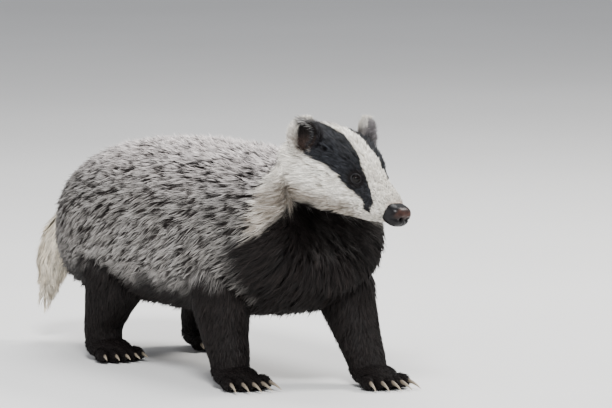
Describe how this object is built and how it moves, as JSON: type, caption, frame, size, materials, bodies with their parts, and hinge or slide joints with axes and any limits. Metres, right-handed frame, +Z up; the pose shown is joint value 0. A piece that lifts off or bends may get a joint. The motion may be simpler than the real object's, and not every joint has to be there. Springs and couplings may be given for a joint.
{
  "type": "european badger",
  "caption": "European badger standing on four feet, head up and turned slightly left, with shaggy grey coat, black legs and throat, and a striped white head.",
  "frame": {"origin": "centre of the model's bounding box in plan, on the floor under its feet", "axes": "+X towards the head, +Y to the animal's left, +Z up"},
  "size_m": [0.6906, 0.223, 0.3127],
  "materials": {
    "grey_coat": "coarse grizzled guard hair",
    "white_fur": "short dense fur",
    "black_fur": "short dense fur, with horn-coloured claws",
    "tail_fur": "long loose hair",
    "nose_skin": "moist, finely pebbled",
    "eye": "wet gloss"
  },
  "bodies": {
    "root": {"head": "white_fur", "nose": "nose_skin", "ear_right": "white_fur", "ear_left": "white_fur", "eye_right": "eye", "eye_left": "eye", "neck": "white_fur", "torso": "grey_coat", "tail": "tail_fur", "foreleg_right": "black_fur", "foreleg_left": "black_fur", "hindleg_right": "black_fur", "hindleg_left": "black_fur"}
  },
  "joints": []
}
